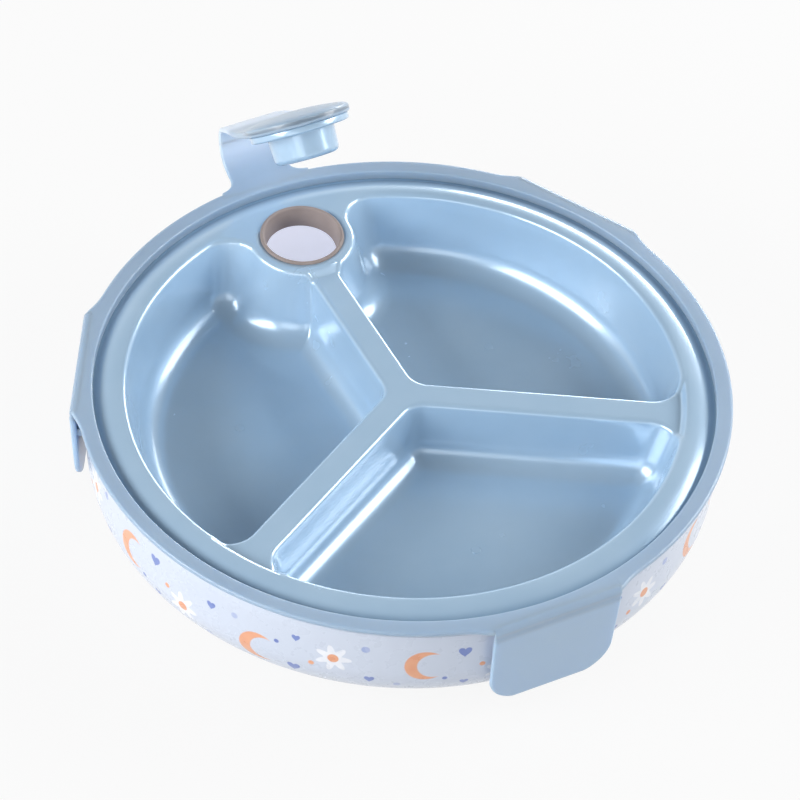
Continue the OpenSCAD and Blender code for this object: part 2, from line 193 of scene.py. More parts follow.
class Finish:
    """A material with one Principled shader, to which other nodes are added."""

    def __init__(self, name, **constants):
        self.material = bpy.data.materials.new(name)
        self.material.use_nodes = True
        self.tree = self.material.node_tree
        self.tree.nodes.clear()
        self.shader = self.add("ShaderNodeBsdfPrincipled")
        self.output = self.add("ShaderNodeOutputMaterial", {}, {"Surface": self.shader.outputs[0]})
        for socket, value in constants.items():
            self.feed(socket.replace("_", " "), value)
        self.place = self.add("ShaderNodeTexCoord").outputs["Object"]
        axes = self.add("ShaderNodeSeparateXYZ", {}, {"Vector": self.place})
        self.x, self.y, self.z = (Value(self, axes.outputs[i]) for i in range(3))

    def add(self, kind, settings=None, sockets=None):
        return add_node(self.tree, kind, settings, sockets)

    def feed(self, socket, value):
        feed(self.tree, self.shader.inputs[socket], value)

    def noise(self, size, detail):
        """Even noise from 0 to 1 with blots of about the given size in metres."""
        node = self.add("ShaderNodeTexNoise", {},
                        {"Vector": self.place, "Scale": 1 / size, "Detail": detail})
        return Value(self, node.outputs[0])

    def blend(self, mask, low, high):
        """The colour low where the mask is 0 and high where it is 1."""
        node = self.add("ShaderNodeMix", {"data_type": "RGBA"}, {0: mask, 6: low, 7: high})
        return node.outputs[2]

    def colour(self, value):
        self.feed("Base Color", value)

    def rough(self, value):
        self.feed("Roughness", value)

    def bump(self, height, depth):
        """Raises the surface by the height value times a depth in metres."""
        node = self.add("ShaderNodeBump", {}, {"Height": height, "Distance": depth})
        self.feed("Normal", node.outputs[0])


def paint(red, green, blue):
    """A colour as it is read off a screen, from 0 to 255, turned into light."""
    shares = [value / 255 for value in (red, green, blue)]
    return tuple(v / 12.92 if v < 0.04 else ((v + 0.055) / 1.055) ** 2.4 for v in shares) + (1.0,)


# %% [markdown]
# ## The plastics
# The tray is moulded in a plastic with pearl flakes too fine to see one by one: under a clear gloss the
# colour swims a little from lighter to deeper blue, and the shine is slightly hazy. In the gutter by
# the ring the colour is painted deeper still, as painted shade under the ring's edge. The ring and its
# clips are a softer, milky plastic that lets some light in, with the fine matt skin of an etched mould.
# The clips are thinner than the ring and are painted a little paler, and the strap more so: painted
# light for what shines through the thin plastic.

# %% Pearl and milky plastic
PEARL_LIGHT = paint(180, 206, 228)
PEARL_DEEP = paint(156, 188, 216)
PEARL_GUTTER_SHADE = paint(104, 140, 170)
MILK_LIGHT = paint(158, 180, 202)
MILK_DEEP = paint(146, 169, 193)
MILK_THIN_PAINTED_LIGHT = paint(200, 215, 234)
MILK_CLIP_PAINTED_LIGHT = paint(165, 191, 218)
GUTTER_FROM = 0.0928
GUTTER_SOFT = 0.0024
GUTTER_SHADE_SHARE = 0.7
STRAP_OUT = 0.1025
STRAP_OUT_SOFT = 0.0035
STRAP_UP = 0.0435
STRAP_UP_SOFT = 0.004
CLIPS_BELOW = 0.0352
CLIPS_SOFT = 0.0012


def pearl_plastic():
    finish = Finish("pearl_plastic", Metallic=0.22, Coat_Weight=0.9, Coat_Roughness=0.12, IOR=1.5)
    swim = finish.noise(size=0.035, detail=2.0)
    haze = finish.noise(size=0.006, detail=2.0)
    pearl = finish.blend(swim * 0.8 + haze * 0.2, PEARL_DEEP, PEARL_LIGHT)
    # Painted shade: the colour is mixed towards a deeper blue in the gutter by the ring, where the ring
    # shades it.
    out = (finish.x * finish.x + finish.y * finish.y).root()
    gutter = (GUTTER_FROM - out).inside(GUTTER_SOFT)
    finish.colour(finish.blend(gutter * GUTTER_SHADE_SHARE, pearl, PEARL_GUTTER_SHADE))
    finish.rough(0.2 + haze * 0.05 + swim * 0.06)
    return finish.material


def milky_plastic():
    finish = Finish("milky_plastic", Subsurface_Weight=0.5, Subsurface_Scale=0.003, IOR=1.5,
                    Coat_Weight=0.4, Coat_Roughness=0.14, Subsurface_Radius=(0.7, 0.85, 1.0))
    cloud = finish.noise(size=0.03, detail=3.0)
    grain = finish.noise(size=0.0005, detail=2.0)
    # Painted light: the thin strap past the ring and the clips below it are painted paler, for light that
    # shines through their thin plastic.
    past_ring = (STRAP_OUT - finish.y).inside(STRAP_OUT_SOFT)
    above_ring = (STRAP_UP - finish.z).inside(STRAP_UP_SOFT)
    clips = (finish.z - CLIPS_BELOW).inside(CLIPS_SOFT)
    milk = finish.blend(clips, finish.blend(cloud, MILK_DEEP, MILK_LIGHT), MILK_CLIP_PAINTED_LIGHT)
    finish.colour(finish.blend(past_ring * above_ring, milk, MILK_THIN_PAINTED_LIGHT))
    finish.rough(0.32 + grain * 0.16)
    finish.bump(grain, depth=0.000012)
    return finish.material


PEARL = pearl_plastic()
MILKY = milky_plastic()
print("finishes:", PEARL.name, MILKY.name)

# %% [markdown]
# ## Rubber
# The grommet in the filler hole and the seal under the rim are taupe silicone: dull, a little uneven in
# tone, with a fine grain.

# %% Rubber
RUBBER_LIGHT = paint(158, 146, 142)
RUBBER_DEEP = paint(134, 123, 120)


def rubber():
    finish = Finish("taupe_rubber", IOR=1.42)
    cloud = finish.noise(size=0.006, detail=4.0)
    grain = finish.noise(size=0.0003, detail=2.0)
    finish.colour(finish.blend(cloud, RUBBER_DEEP, RUBBER_LIGHT))
    finish.rough(0.5 + grain * 0.2)
    finish.bump(grain, depth=0.00002)
    return finish.material


RUBBER = rubber()
seal_mesh = frame["nodes"]["rim_seal"].data
seal_mesh.materials.clear()
seal_mesh.materials.append(RUBBER)
print("finish:", RUBBER.name)

# %% [markdown]
# ## The print on the bowl
# The bowl is a pale lilac blue and carries a small nursery print. The print here is a plain one:
# crescents, daisies, hearts and dots in two staggered rows. Each motif is a formula that is below
# zero inside its outline. The wall is unrolled first: the angle round the plate becomes a length in
# millimetres, and is cut into equal panels.

# %% Printed plastic
BOWL_R = 97.0
PRINT_PANELS = 12
PRINT_MIDDLE = 19.5
BITE_SHIFT = 0.42
BITE_SIZE = 0.82
PETALS = 7
PETAL_DEPTH = 0.24
HEART_TALL = 1.2
HEART_CLEFT = 0.8
HEART_FILL = 0.6
LILAC = paint(195, 205, 222)
LILAC_PALE = paint(205, 213, 228)
INNER_DEEP = paint(218, 217, 227)
INNER_LIGHT = paint(228, 225, 232)
APRICOT = paint(236, 178, 140)
APRICOT_DEEP = paint(214, 138, 104)
BLUE_VIOLET = paint(128, 148, 206)
BLUE_DEEP = paint(92, 112, 178)
CREAM = paint(250, 250, 252)


def printed_plastic():
    finish = Finish("printed_plastic", Coat_Weight=0.35, Coat_Roughness=0.1, IOR=1.5)
    turn = finish.y.angle_from(finish.x)
    panel = turn * (PRINT_PANELS / (2 * math.pi))
    width = 2 * math.pi * BOWL_R / PRINT_PANELS
    across = (panel.fraction() - 0.5) * width
    flip = 1 - 4 * (panel.floor() * 0.5).fraction()
    height = finish.z / MM - PRINT_MIDDLE
    wash = finish.noise(size=0.004, detail=4.0)

    def away(middle_x, middle_y):
        return across - middle_x, height - flip * middle_y

    def disc(middle_x, middle_y, size):
        dx, dy = away(middle_x, middle_y)
        return (dx * dx + dy * dy).root() - size

    def crescent(middle_x, middle_y, size):
        bite = disc(middle_x + BITE_SHIFT * size, middle_y, BITE_SIZE * size)
        return disc(middle_x, middle_y, size).larger(bite * -1)

    def daisy(middle_x, middle_y, size):
        dx, dy = away(middle_x, middle_y)
        petals = (dy.angle_from(dx) * PETALS).cosine() * (PETAL_DEPTH * size)
        return (dx * dx + dy * dy).root() - petals - (1 - PETAL_DEPTH) * size

    def heart(middle_x, middle_y, size):
        dx, dy = away(middle_x, middle_y)
        lift = dy / size * HEART_TALL - abs(dx / size).root() * HEART_CLEFT
        side = dx / size
        return side * side + lift * lift - HEART_FILL

    print_colour = finish.blend(finish.noise(size=0.05, detail=2.0), LILAC, LILAC_PALE)
    # A motif at (across, up) with its size in mm, its soft edge, and the two tones of its wash
    layers = [
        (crescent(-13, 2.5, 6.2), 0.25, APRICOT_DEEP, APRICOT),
        (daisy(10.5, -2.5, 5.6), 0.2, LILAC_PALE, CREAM),
        (disc(10.5, -2.5, 1.7), 0.2, APRICOT_DEEP, APRICOT),
        (heart(-1.5, 7.0, 2.6), 0.1, BLUE_DEEP, BLUE_VIOLET),
        (heart(21.5, 5.5, 2.0), 0.1, BLUE_DEEP, BLUE_VIOLET),
        (heart(-1.0, -7.0, 1.7), 0.1, BLUE_DEEP, BLUE_VIOLET),
        (disc(-21.0, -7.0, 1.1), 0.2, BLUE_VIOLET, LILAC),
        (disc(20.0, -8.5, 1.3), 0.2, BLUE_VIOLET, LILAC),
        (disc(4.0, 1.5, 0.9), 0.2, APRICOT, APRICOT_DEEP),
        (disc(-7.0, -3.5, 0.8), 0.2, BLUE_VIOLET, BLUE_DEEP),
    ]
    for shape, soft, low, high in layers:
        print_colour = finish.blend(shape.inside(soft), print_colour, finish.blend(wash, low, high))
    finish.colour(print_colour)
    finish.rough(0.24 + wash * 0.08)
    return finish.material


def plain_plastic():
    finish = Finish("white_plastic", IOR=1.5)
    cloud = finish.noise(size=0.03, detail=3.0)
    finish.colour(finish.blend(cloud, LILAC, LILAC_PALE))
    finish.rough(0.34 + cloud * 0.1)
    return finish.material


def lit_plastic():
    """The inside of the bowl, painted with a soft glow for the room's light that its thin white wall lets
    through.
    """
    finish = Finish("bowl_inside", IOR=1.5, Roughness=0.3, Emission_Color=paint(228, 227, 233),
                    Emission_Strength=0.5)
    cloud = finish.noise(size=0.02, detail=2.0)
    finish.colour(finish.blend(cloud, INNER_DEEP, INNER_LIGHT))
    return finish.material


PRINTED = printed_plastic()
PLAIN = plain_plastic()
INSIDE = lit_plastic()
print("print panels:", PRINT_PANELS)

# %% [markdown]
# ## Helpers for meshes
# All the pieces are drawn in millimetres and shrunk to metres at the end. A round piece is a profile
# turned about the upright axis. Merging the doubles closes the seam and the pole, and the normals are
# worked out again on the closed shape.

# %% Profiles and faces
SHARP = math.radians(50)
MERGE = 0.000002


def arc(middle, radius, start, end, steps):
    """Points of an arc with both its ends, angles in degrees."""
    angles = np.radians(np.linspace(start, end, steps + 1))
    return [(middle[0] + radius * math.cos(a), middle[1] + radius * math.sin(a)) for a in angles]


def quads(rows, count, ring=True, loop=False):
    """Faces between rows of points. A ring closes each row, a loop joins the last row to the first."""
    faces = []
    for i in range(rows if loop else rows - 1):
        a = i * count
        b = (i + 1) % rows * count
        for j in range(count if ring else count - 1):
            k = (j + 1) % count
            faces.append((a + j, a + k, b + k, b + j))
    return faces


def capped(rows, count):
    """The faces of a tube with both its ends shut."""
    return [tuple(range(count)), tuple(range((rows - 1) * count, rows * count))] + quads(rows, count)


def lathe(profile, steps, closed=True, inner=()):
    """Turns a profile of (radius, height). Faces of the segments in inner get the second finish."""
    count = len(profile)
    verts = [(r * math.cos(a), r * math.sin(a), z)
             for a in np.linspace(0, 2 * math.pi, steps, endpoint=False) for r, z in profile]
    faces = quads(steps, count, ring=closed, loop=True)
    return verts, faces, [1 if face[0] % count in inner else 0 for face in faces]


# %% Finished pieces


def piece(name, parts, finishes, place=Matrix()):
    """One object from several (vertices in mm, faces, slots), merged and shaded smooth."""
    mesh = bpy.data.meshes.new(name)
    verts = []
    faces = []
    slots = []
    for part_verts, part_faces, part_slots in parts:
        base = len(verts)
        verts += [tuple(v) for v in part_verts]
        faces += [tuple(base + i for i in face) for face in part_faces]
        slots += part_slots or [0] * len(part_faces)
    mesh.from_pydata(verts, [], faces)
    mesh.polygons.foreach_set("material_index", slots)
    for finish in finishes:
        mesh.materials.append(finish)
    mesh.transform(place @ Matrix.Scale(MM, 4))
    work = bmesh.new()
    work.from_mesh(mesh)
    bmesh.ops.remove_doubles(work, verts=work.verts, dist=MERGE)
    bmesh.ops.dissolve_degenerate(work, edges=work.edges, dist=MERGE)
    bmesh.ops.recalc_face_normals(work, faces=work.faces)
    work.to_mesh(mesh)
    work.free()
    mesh.shade_smooth()
    mesh.set_sharp_from_angle(angle=SHARP)
    print(name, len(mesh.polygons), "faces")
    return new_object(name, mesh)


def applied(item):
    """Puts the result of the modifiers into a plain mesh and takes them off."""
    bpy.context.view_layer.update()
    graph = bpy.context.evaluated_depsgraph_get()
    item.data = bpy.data.meshes.new_from_object(item.evaluated_get(graph))
    item.data.name = item.name
    item.modifiers.clear()
    print(item.name, len(item.data.polygons), "faces")


def finished(item, body, slot, *nodes):
    """Puts a piece on its body, in place of the solids that it stands for."""
    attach(item, body)
    if nodes:
        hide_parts(*nodes)


def bending(item, near, far, start, end, node):
    """Bakes a strip's place into its mesh and hides the solid that it stands for."""
    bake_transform(item)
    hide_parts(node)


# %% [markdown]
# ## The bowl
# A round bowl with a straight wall and a generous round at the foot is a turned shape. Its outside
# carries the print and its inside is plain, so the profile says which of its segments are inside. The
# three catch bars behind the clips are the same bar three times: Geometry Nodes turn copies of it round
# the plate, and the result is made a plain mesh.

# %% Sizes of the plate
RING_R = 100.0
PLATE_TOP = 40.0
RING_T = 2.0
RING_IN = 95.0
RING_MID = PLATE_TOP - RING_T / 2
BOWL_WALL = 2.0
BOWL_FLOOR = 2.2
BOWL_ROUND = 19.0
BOWL_TOP = 34.8
RIM_IN = 92.6
FLAP_SIDES = {"front": 270, "right": 30, "left": 150}
STRAP_SIDE = 90
print("ring in mm:", 2 * RING_R, "bowl:", 2 * BOWL_R)

# %% A tree that turns copies of a pattern round the plate


def turned_copies_tree():
    tree = bpy.data.node_groups.new("turned_copies", "GeometryNodeTree")
    inputs = {"Pattern": "Object", "Copies": "Int", "First Side": "Float", "Finish": "Material"}
    for name, kind in inputs.items():
        tree.interface.new_socket(name, in_out="INPUT", socket_type="NodeSocket" + kind)
    tree.interface.new_socket("Geometry", in_out="OUTPUT", socket_type="NodeSocketGeometry")

    def node(*what):
        return add_node(tree, *what).outputs

    given = node("NodeGroupInput")
    pattern = node("GeometryNodeObjectInfo", {"transform_space": "ORIGINAL"}, {"Object": given["Pattern"]})
    points = node("GeometryNodePoints", {}, {"Count": given["Copies"]})
    share = node("ShaderNodeMath", {"operation": "DIVIDE"}, {0: 2 * math.pi, 1: given["Copies"]})
    turn = node("ShaderNodeMath", {"operation": "MULTIPLY_ADD"},
                {0: node("GeometryNodeInputIndex")[0], 1: share[0], 2: given["First Side"]})
    spin = node("ShaderNodeCombineXYZ", {}, {"Z": turn[0]})
    copies = node("GeometryNodeInstanceOnPoints", {},
                  {"Points": points[0], "Instance": pattern["Geometry"], "Rotation": spin[0]})
    solid = node("GeometryNodeRealizeInstances", {}, {0: copies[0]})
    painted = node("GeometryNodeSetMaterial", {}, {"Geometry": solid[0], "Material": given["Finish"]})
    node("NodeGroupOutput", {}, {"Geometry": painted[0]})
    return tree


TURNED_COPIES = turned_copies_tree()


def turned_copies(name, pattern, copies, first_side, finish):
    """Copies of a pattern round the plate, the first at a side in degrees, as one plain mesh."""
    holder = new_object(name, bpy.data.meshes.new(name))
    modifier = holder.modifiers.new("copies", "NODES")
    modifier.node_group = TURNED_COPIES
    values = {"Pattern": pattern, "Copies": copies, "First Side": math.radians(first_side),
              "Finish": finish}
    for item in TURNED_COPIES.interface.items_tree:
        if item.in_out == "INPUT":
            modifier[item.identifier] = values[item.name]
    applied(holder)
    return holder


# %% Bowl
BOWL_LIP = 0.5
RIM_H = 3.0
ROUND_STEPS = 20
WALL_RINGS = 6
TURN_STEPS = 288


def bowl_profile():
    outside = [(0, 0)] + arc((BOWL_R - BOWL_ROUND, BOWL_ROUND), BOWL_ROUND, -90, 0, ROUND_STEPS)
    outside += [(BOWL_R, h) for h in np.linspace(BOWL_ROUND, BOWL_TOP - BOWL_LIP, WALL_RINGS)[1:-1]]
    outside += arc((BOWL_R - BOWL_LIP, BOWL_TOP - BOWL_LIP), BOWL_LIP, 0, 90, 4)
    inner_r = BOWL_R - BOWL_WALL
    inner_round = BOWL_ROUND - BOWL_WALL
    rim_low = BOWL_TOP - RIM_H
    inside = [(RIM_IN, BOWL_TOP), (RIM_IN, rim_low), (inner_r, rim_low - (inner_r - RIM_IN))]
    inside += arc((inner_r - inner_round, BOWL_FLOOR + inner_round), inner_round, 0, -90, ROUND_STEPS)
    inside += [(0, BOWL_FLOOR)]
    return outside, inside


bowl_out, bowl_in = bowl_profile()
bowl_faces = lathe(bowl_out + bowl_in, TURN_STEPS, True, range(len(bowl_out), len(bowl_out + bowl_in)))
finished(piece("bowl", [bowl_faces], [PRINTED, INSIDE]), "plate", "bowl_plastic", "base_bowl")

# %% Catch bars
CATCH_W = 36.0
CATCH_LOW = 29.0
CATCH_H = 4.0
CATCH_PROUD = 0.5
CATCH_EDGE = 0.4
CATCH_STEPS = 12


def catch_bar():
    """One bar at side 0, with its front edges rounded and its back inside the bowl's wall."""
    back_r = BOWL_R - BOWL_WALL / 2
    edge_r = BOWL_R + CATCH_PROUD - CATCH_EDGE
    high = CATCH_LOW + CATCH_H
    outline = [(back_r, CATCH_LOW)]
    outline += arc((edge_r, CATCH_LOW + CATCH_EDGE), CATCH_EDGE, -90, 0, 3)
    outline += arc((edge_r, high - CATCH_EDGE), CATCH_EDGE, 0, 90, 3)
    outline += [(back_r, high)]
    verts = []
    for side in np.linspace(-CATCH_W / 2, CATCH_W / 2, CATCH_STEPS + 1):
        behind = math.sqrt(back_r ** 2 - side ** 2)
        verts += [(out if out > back_r else behind, side, z) for out, z in outline]
    return verts, capped(CATCH_STEPS + 1, len(outline)), []


bar_pattern = piece("bar_pattern", [catch_bar()], [PLAIN])
catches = turned_copies("catch_bars", bar_pattern, len(FLAP_SIDES), FLAP_SIDES["right"], PLAIN)
bpy.data.objects.remove(bar_pattern)
finished(catches, "plate", "bowl_plastic")

# %% [markdown]
# ## The tray
# The tray is the heart of the plate. Each well is a stack of outlines: the floor, a soft round up to
# the wall, the sloping wall, and a rolled edge at the top. The walls next to a divider are steep and
# those under the rim lean more, so an outline takes two insets. The edge is low along the dividers and
# rises in a soft step where they meet the rim and the filler boss, so each point of a row is a mix
# of the same row drawn for a low edge and for a high one.

# %% Sizes of the wells
RIM_Z = 39.3
DIVIDER_Z = 36.9
FLOOR_Z = 15.7
WELL_R = 85.0
DIVIDER_W = 9.4
WELL_CORNER = 9.0
HUB_CORNER = 7.0
BOSS_CORNER = 5.0
CORNER_MIN = 3.0
BOSS_R = 16.5
FILLER_Y = 72.3
DIVIDER_DRAFT = math.tan(math.radians(4))
RIM_DRAFT = math.tan(math.radians(14))
FLOOR_ROUND = 7.4
EDGE_ROUND = 1.4
STEP_FOOT = 0.9
BOSS_BACK = 0.75
BOSS_FAN = 0.4
TRAY_T = 1.8
print("depth of a well in mm:", round(RIM_Z - FLOOR_Z, 1))

# %% Outlines of the wells
RIM_ARC_STEPS = 56
CORNER_STEPS = 12
HUB_STEPS = 10
SIDE_STEPS = 30
BOSS_RIM_STEPS = 40
BOSS_CORNER_STEPS = 14
BOSS_ARC_STEPS = 26
BOSS_SIDE_STEPS = 18


def polar(radius, angle):
    return np.array((radius * math.cos(math.radians(angle)), radius * math.sin(math.radians(angle))))


def angle_of(vector):
    return math.degrees(math.atan2(vector[1], vector[0]))


def line(start, end, steps):
    """The points between two ends, without them."""
    return [tuple(np.array(start) + (np.array(end) - np.array(start)) * i / steps) for i in range(1, steps)]


def corner_size(size, inset):
    return max(size - inset, CORNER_MIN)


def well_sizes(divider_inset, rim_inset):
    """What both kinds of well share: half a divider, the radii, the hub's place and the rim corner's."""
    width = DIVIDER_W / 2 + divider_inset
    radius = WELL_R - rim_inset
    corner = corner_size(WELL_CORNER, divider_inset)
    hub = corner_size(HUB_CORNER, divider_inset)
    hub_at = (width + hub) / math.sin(math.radians(60))
    return width, radius, corner, hub, hub_at, math.degrees(math.asin((width + corner) / (radius - corner)))


def plain_well(divider_inset, rim_inset):
    """The front well's outline, drawn about the +X axis."""
    _, radius, corner, hub, hub_at, corner_at = well_sizes(divider_inset, rim_inset)
    bend = 60 - corner_at
    rim = arc((0, 0), radius, -bend, bend, RIM_ARC_STEPS)
    first = arc(polar(radius - corner, bend), corner, bend, 150, CORNER_STEPS)
    tip = arc((hub_at, 0), hub, 150, 210, HUB_STEPS)
    last = arc(polar(radius - corner, -bend), corner, 210, 360 - bend, CORNER_STEPS)
    sides = [line(a[-1], b[0], SIDE_STEPS) for a, b in ((first, tip), (tip, last))]
    return rim[1:-1] + first + sides[0] + tip + sides[1] + last


def boss_well(divider_inset, rim_inset):
    """The right well's outline, which leaves room for the filler boss."""
    width, radius, corner, hub, hub_at, corner_at = well_sizes(divider_inset, rim_inset)
    bend = corner_at - 30
    boss = BOSS_R + rim_inset
    ridge = corner_size(BOSS_CORNER, rim_inset)
    near_rim = radius - corner
    near_boss = boss + corner
    up_y = (near_rim ** 2 - near_boss ** 2 + FILLER_Y ** 2) / (2 * FILLER_Y)
    rim_end = np.array((math.sqrt(near_rim ** 2 - up_y ** 2), up_y))
    drop = math.sqrt((boss + ridge) ** 2 - (width + ridge) ** 2)
    boss_end = np.array((width + ridge, FILLER_Y - drop))
    filler = np.array((0, FILLER_Y))
    turn_a = angle_of(rim_end)
    turn_b = angle_of(filler - rim_end)
    turn_c = angle_of(boss_end - filler)
    rim = arc((0, 0), radius, bend, turn_a, BOSS_RIM_STEPS)
    first = arc(rim_end, corner, turn_a, turn_b, BOSS_CORNER_STEPS)
    round_boss = arc(filler, boss, turn_b - 180, turn_c, BOSS_ARC_STEPS)
    second = arc(boss_end, ridge, turn_c + 180, 180, HUB_STEPS)
    tip = arc(polar(hub_at, 30), hub, 180, 240, HUB_STEPS)
    last = arc(polar(near_rim, bend), corner, 240, bend + 360, CORNER_STEPS)
    whole = rim[1:-1] + first + round_boss[1:-1] + second + line(second[-1], tip[0], BOSS_SIDE_STEPS)
    return whole + tip + line(tip[-1], last[0], SIDE_STEPS) + last


print("points round a well:", len(plain_well(0, 0)), len(boss_well(0, 0)))

# %% Height of the edges


def smooth(value, start, end):
    """0 before the start, 1 after the end and a soft curve between."""
    part = np.clip((value - start) / (end - start), 0, 1)
    return part * part * (3 - 2 * part)


def edge_height(x, y):
    """The height of the tray's top: low on the dividers, with a soft step up to the rim and the boss."""
    from_boss = np.hypot(x, y - FILLER_Y)
    to_rim = smooth(np.hypot(x, y), WELL_R - STEP_FOOT, WELL_R + EDGE_ROUND)
    to_boss = smooth(-from_boss, -BOSS_R - STEP_FOOT, -BOSS_R + EDGE_ROUND)
    beside_boss = (y > FILLER_Y - BOSS_BACK * BOSS_R) & (np.abs(x) < BOSS_FAN * y)
    return DIVIDER_Z + (RIM_Z - DIVIDER_Z) * np.maximum(np.maximum(to_rim, to_boss), beside_boss)


print("height of the dividers and the rim in mm:", DIVIDER_Z, RIM_Z)

# %% Wells
FILLET_STEPS = 10
WALL_STEPS = 5
ROLL_STEPS = 6
FLOOR_LEAD = 2.5


def well_rows(outline, top):
    """Rows (divider inset, rim inset, height) from the floor up to the rolled edge."""
    rows = []
    depth = top - FLOOR_Z
    for step in range(FILLET_STEPS + 1):
        tilt = math.radians(90 * step / FILLET_STEPS)
        rise = FLOOR_ROUND * (1 - math.cos(tilt))
        run = FLOOR_ROUND * (1 - math.sin(tilt))
        rows.append(((depth - rise) * DIVIDER_DRAFT + run, (depth - rise) * RIM_DRAFT + run, FLOOR_Z + rise))
    start = FLOOR_Z + FLOOR_ROUND
    end = top - EDGE_ROUND
    for step in range(1, WALL_STEPS + 1):
        z = start + (end - start) * step / WALL_STEPS
        rows.append(((top - z) * DIVIDER_DRAFT, (top - z) * RIM_DRAFT, z))
    for step in range(1, ROLL_STEPS + 1):
        tilt = math.radians(90 * step / ROLL_STEPS)
        z = top - EDGE_ROUND * (1 - math.sin(tilt))
        out = EDGE_ROUND * (1 - math.cos(tilt))
        rows.append(((top - z) * DIVIDER_DRAFT - out, (top - z) * RIM_DRAFT - out, z))
    first = rows[0]
    rows.insert(0, (first[0] + FLOOR_LEAD, first[1] + FLOOR_LEAD, first[2]))
    return [np.array([(x, y, z) for x, y in outline(d, e)]) for d, e, z in rows]


def well(outline, turn, mirrored):
    """A well's faces and its top edge, turned into place by an angle in degrees."""
    low = well_rows(outline, DIVIDER_Z)
    high = well_rows(outline, RIM_Z)
    spin = np.array(Matrix.Rotation(math.radians(turn), 3, "Z"))
    flip = np.array((-1.0 if mirrored else 1.0, 1.0, 1.0))
    edge = outline(-EDGE_ROUND, -EDGE_ROUND)
    reference = (np.array([(x, y, 0) for x, y in edge]) @ spin.T) * flip
    share = (edge_height(reference[:, 0], reference[:, 1]) - DIVIDER_Z) / (RIM_Z - DIVIDER_Z)
    rows = [((a * (1 - share[:, None]) + b * share[:, None]) @ spin.T) * flip for a, b in zip(low, high)]
    count = len(reference)
    return np.concatenate(rows), [tuple(range(count))] + quads(len(rows), count), rows[-1]


wells = [well(plain_well, 270, False), well(boss_well, 0, False), well(boss_well, 0, True)]
print("faces in the wells:", [len(w[1]) for w in wells])

# %% [markdown]
# The land between the wells is one sheet with four holes. A constrained triangulation takes the well
# edges, the filler hole and the rim circle as fixed lines and fills the rest through a grid of extra
# points, closer together near the rim and the boss, so that the sheet can follow the steps at the ends
# of the dividers.

# %% Grid for the land
SLOPE_R = 86.8
HOLE_R = 12.6
HOLE_STEPS = 72
RIM_STEPS = 360
LAND_GRID = 1.5
GRID_TO_RIM = 5.0
GRID_TO_BOSS = 4.5
GRID_TO_SLOPE = 0.7
GRID_TO_EDGE = 0.2
# Circles beside the rim and round the boss, by their distance from it
STEP_RINGS = [-4.4, -3.3, -2.4, -1.7] + list(np.arange(-1.2, EDGE_ROUND, 0.2))
RIM_RING_STEPS = 540
BOSS_RING_STEPS = 180


def circle(radius, middle, steps):
    return [(middle[0] + radius * math.cos(a), middle[1] + radius * math.sin(a))
            for a in np.linspace(0, 2 * math.pi, steps, endpoint=False)]


def in_outline(points, outline):
    """True for each point that lies inside a closed outline."""
    hit = np.zeros(len(points), dtype=bool)
    for (x1, y1), (x2, y2) in zip(outline, np.roll(outline, -1, axis=0)):
        crosses = (y1 > points[:, 1]) != (y2 > points[:, 1])
        with np.errstate(divide="ignore", invalid="ignore"):
            where = (x2 - x1) * (points[:, 1] - y1) / (y2 - y1) + x1
        hit ^= crosses & (points[:, 0] < where)
    return hit


def land_grid(loops):
    """Points that fill the land between the loops."""
    span = np.arange(-SLOPE_R, SLOPE_R, LAND_GRID)
    grid = [(x + (i % 2) * LAND_GRID / 2, y) for i, y in enumerate(span) for x in span]
    grid = [(x, y) for x, y in grid if math.hypot(x, y) < WELL_R - GRID_TO_RIM
            and math.hypot(x, y - FILLER_Y) > BOSS_R + GRID_TO_BOSS]
    for step in STEP_RINGS:
        grid += circle(WELL_R + step, (0, 0), RIM_RING_STEPS)
        grid += circle(BOSS_R - step, (0, FILLER_Y), BOSS_RING_STEPS)
    grid = np.array(grid)
    grid = grid[np.hypot(grid[:, 0], grid[:, 1]) < SLOPE_R - GRID_TO_SLOPE]
    for loop in loops:
        grid = grid[~in_outline(grid, loop)]
        apart = grid[:, None] - loop[None]
        gap = np.min(np.hypot(apart[..., 0], apart[..., 1]), axis=1)
        grid = grid[gap > GRID_TO_EDGE]
    return grid


land_holes = [edge[:, :2] for _, _, edge in wells]
land_holes.append(np.array(circle(HOLE_R, (0, FILLER_Y), HOLE_STEPS)))
land_points = land_grid(land_holes)
print("points on the land:", len(land_points))

# %% Land
CUT_MERGE = 1e-5


def land():
    """The sheet between the holes and the rim, lifted to the height of the edges."""
    points = []
    edges = []
    for loop in land_holes + [circle(SLOPE_R, (0, 0), RIM_STEPS)]:
        base = len(points)
        points += [tuple(p) for p in loop]
        edges += [(base + i, base + (i + 1) % len(loop)) for i in range(len(loop))]
    points += [tuple(p) for p in land_points]
    flat, _, triangles, *_ = delaunay_2d_cdt([Vector(p) for p in points], edges, [], 0, CUT_MERGE)
    flat = np.array([tuple(p) for p in flat])
    triangles = np.array([tuple(t) for t in triangles])
    middle = flat[triangles].mean(axis=1)
    keep = np.hypot(middle[:, 0], middle[:, 1]) < SLOPE_R
    for loop in land_holes:
        keep &= ~in_outline(middle, loop)
    heights = edge_height(flat[:, 0], flat[:, 1])
    return [(x, y, z) for (x, y), z in zip(flat, heights)], [tuple(t) for t in triangles[keep]], []


# %% Rim, gutter and skirt
GUTTER_Z = 36.8
GUTTER_R = 94.2
HOLLOW_STEPS = 15
HOLLOW_POWER = 1.7
RING_TUCK = 0.2
TONGUE_START = 1.2
TONGUE_R = 98.6
TONGUE_Z = 37.95
TONGUE_EDGE = 0.3
SKIRT = [(90.7, 36.4), (92.3, 36.4), (92.3, 32.3), (92.0, 32.0), (91.0, 32.0), (90.7, 32.3)]


